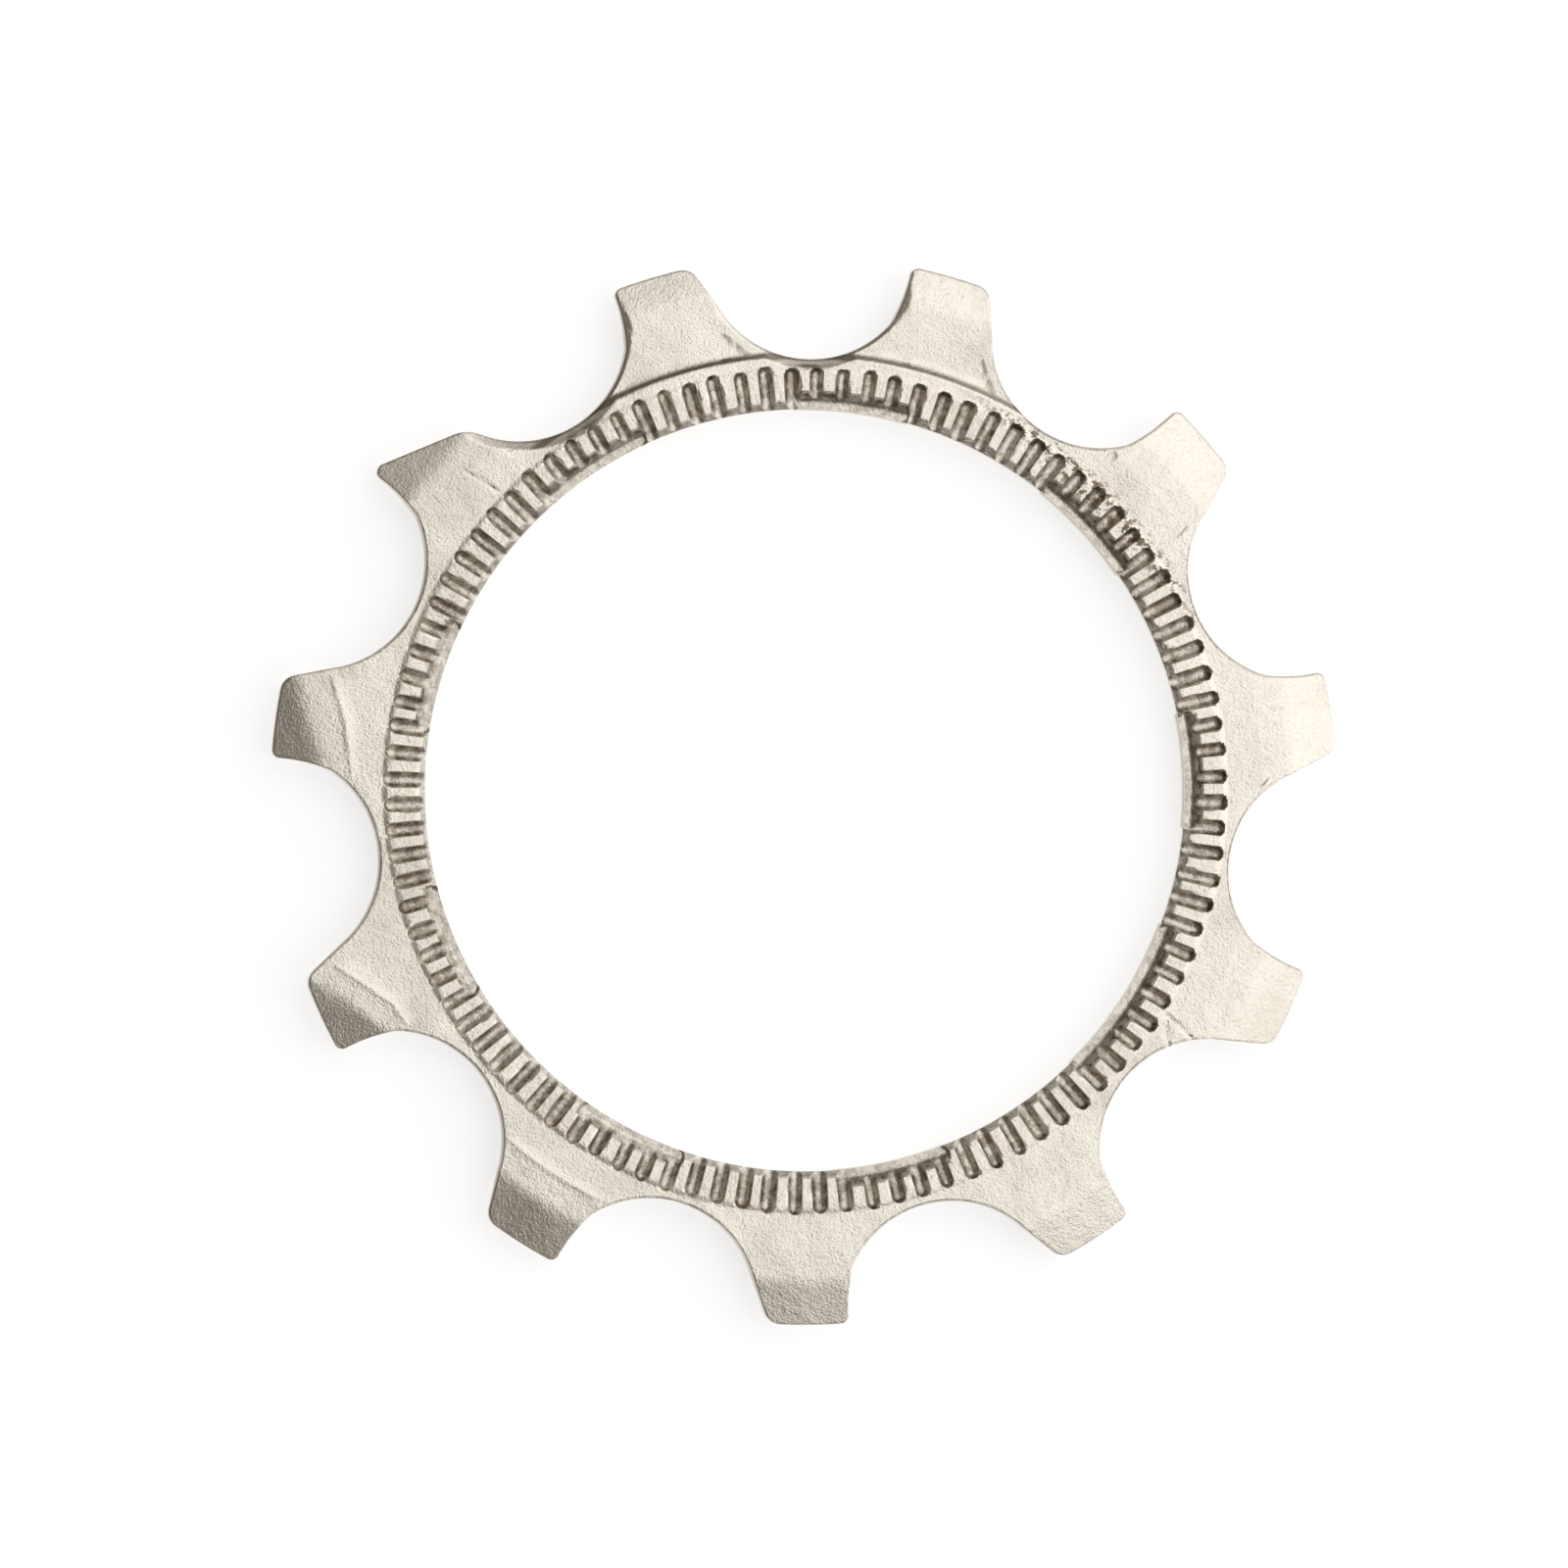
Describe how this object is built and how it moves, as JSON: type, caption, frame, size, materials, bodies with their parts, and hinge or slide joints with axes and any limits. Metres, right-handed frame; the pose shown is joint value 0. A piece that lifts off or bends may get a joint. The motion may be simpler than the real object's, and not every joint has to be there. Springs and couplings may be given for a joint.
{
  "type": "cassette cog",
  "caption": "Small toothed chain cog with a splined bore, a serrated lockring seat and bevelled tooth tips, one of them pointed.",
  "frame": {"origin": "centre of the bore at the plain back face", "axes": "+Z along the bore's axis, out of the serrated lockring seat; +X and +Y as right and up in the picture"},
  "size_m": [0.0461, 0.0457, 0.0018],
  "materials": {
    "nickel_plated_steel": "satin, fine-grained nickel plating on stamped steel"
  },
  "bodies": {
    "root": {"cog": "nickel_plated_steel"}
  },
  "joints": []
}
